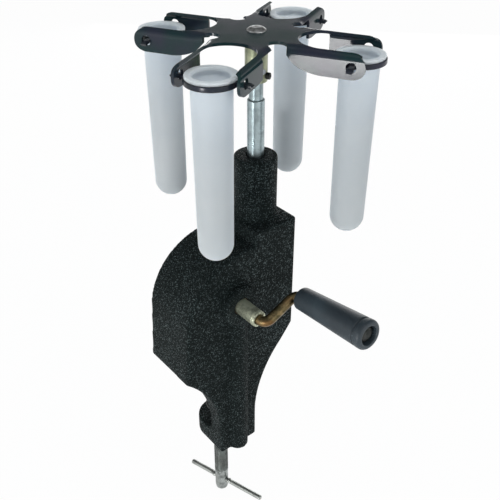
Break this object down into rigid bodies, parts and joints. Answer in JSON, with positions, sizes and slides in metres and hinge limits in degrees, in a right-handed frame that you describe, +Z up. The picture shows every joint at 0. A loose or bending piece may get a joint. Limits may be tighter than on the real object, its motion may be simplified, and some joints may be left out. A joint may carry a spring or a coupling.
{
  "type": "hand crank centrifuge",
  "caption": "Bench-clamped hand centrifuge: cast worm-drive housing, side crank with tapered grip, upright spindle and a cross-shaped rotor with swinging tube sleeves.",
  "frame": {"origin": "where the clamp screw's axis meets the underside of the upper jaw, the face that rests on the bench", "axes": "+Z up along the spindle, -Y towards the crank's side, +X towards the spindle"},
  "size_m": [0.1339, 0.1764, 0.347],
  "materials": {
    "crackle_paint": "black crackle paint with a fine light grain",
    "gasket": "matt fibre gasket",
    "zinc_screw": "zinc plated",
    "bronze": "sintered bronze",
    "bearing_steel": "ground steel",
    "yellow_zinc_shaft": "olive zinc plate",
    "wheel_bronze": "machined bronze",
    "yellow_zinc_rod": "yellow zinc plate",
    "black_grip": "satin black moulding",
    "turned_steel": "bright turned steel",
    "brass": "turned brass",
    "gloss_black_sheet": "gloss black enamel on pressed sheet",
    "gloss_black_ring": "gloss black enamel",
    "frosted_plastic": "frosted translucent moulding",
    "zinc_steel": "grey zinc plate"
  },
  "bodies": {
    "frame": {"housing": "crackle_paint", "back_cover": "crackle_paint", "cover_gasket": "gasket", "cover_screws": "zinc_screw", "neck_bush": "bronze", "toe_bush": "bronze", "thrust_ball": "bearing_steel", "front_crank_bush": "bronze", "rear_crank_bush": "bronze"},
    "crank": {"crank_shaft": "yellow_zinc_shaft", "drive_wheel": "wheel_bronze", "wheel_pin": "bearing_steel", "crank_arm": "yellow_zinc_rod", "front_thrust_washer": "bearing_steel", "rear_thrust_washer": "bearing_steel", "grip_washer": "zinc_screw"},
    "grip": {"handle_grip": "black_grip"},
    "rotor": {"spindle": "turned_steel", "worm": "bearing_steel", "worm_pin": "bearing_steel", "rotor_hub": "brass", "hub_pin": "bearing_steel", "rotor_plate": "gloss_black_sheet"},
    "clamp_pad": {"pressure_pad": "zinc_steel"},
    "screw": {"clamp_screw": "zinc_steel", "tommy_bar": "zinc_steel"},
    "bucket_1": {"carrier_ring_1": "gloss_black_ring", "sleeve_1": "frosted_plastic"},
    "bucket_2": {"carrier_ring_2": "gloss_black_ring", "sleeve_2": "frosted_plastic"},
    "bucket_3": {"carrier_ring_3": "gloss_black_ring", "sleeve_3": "frosted_plastic"},
    "bucket_4": {"carrier_ring_4": "gloss_black_ring", "sleeve_4": "frosted_plastic"}
  },
  "joints": [
    {"name": "rotor_spin", "type": "hinge", "parent": "frame", "child": "rotor", "pos_m": [0.02952, -0.002, 0.1], "axis": [0, 0, 1], "continuous": true},
    {"name": "crank_turn", "type": "hinge", "parent": "frame", "child": "crank", "pos_m": [-0.001, -0.002, 0.047], "axis": [0, 1, 0], "continuous": true},
    {"name": "grip_spin", "type": "hinge", "parent": "crank", "child": "grip", "pos_m": [0.02211, -0.049, 0.05778], "axis": [0, -0.9936, 0.1132], "continuous": true},
    {"name": "bucket_1_swing", "type": "hinge", "parent": "rotor", "child": "bucket_1", "pos_m": [-0.02045, -0.02942, 0.193], "axis": [-0.481, 0.8767, 0], "range_deg": [-10, 90]},
    {"name": "bucket_2_swing", "type": "hinge", "parent": "rotor", "child": "bucket_2", "pos_m": [0.05694, -0.05197, 0.193], "axis": [-0.8767, -0.481, 0], "range_deg": [-10, 90]},
    {"name": "bucket_3_swing", "type": "hinge", "parent": "rotor", "child": "bucket_3", "pos_m": [0.0795, 0.02542, 0.193], "axis": [0.481, -0.8767, 0], "range_deg": [-10, 90]},
    {"name": "bucket_4_swing", "type": "hinge", "parent": "rotor", "child": "bucket_4", "pos_m": [0.00211, 0.04797, 0.193], "axis": [0.8767, 0.481, 0], "range_deg": [-10, 90]},
    {"name": "clamp_slide", "type": "slide", "parent": "frame", "child": "clamp_pad", "axis": [0, 0, 1], "range_m": [-0.003, 0.05]},
    {"name": "screw_turn", "type": "hinge", "parent": "clamp_pad", "child": "screw", "pos_m": [0, 0, -0.1], "axis": [0, 0, 1], "range_deg": [-721, 12001]}
  ],
  "couplings": [
    {"joint": "crank_turn", "follows": "rotor_spin", "ratio": 0.1},
    {"joint": "screw_turn", "follows": "clamp_slide", "rad_per_m": 4188.8}
  ]
}
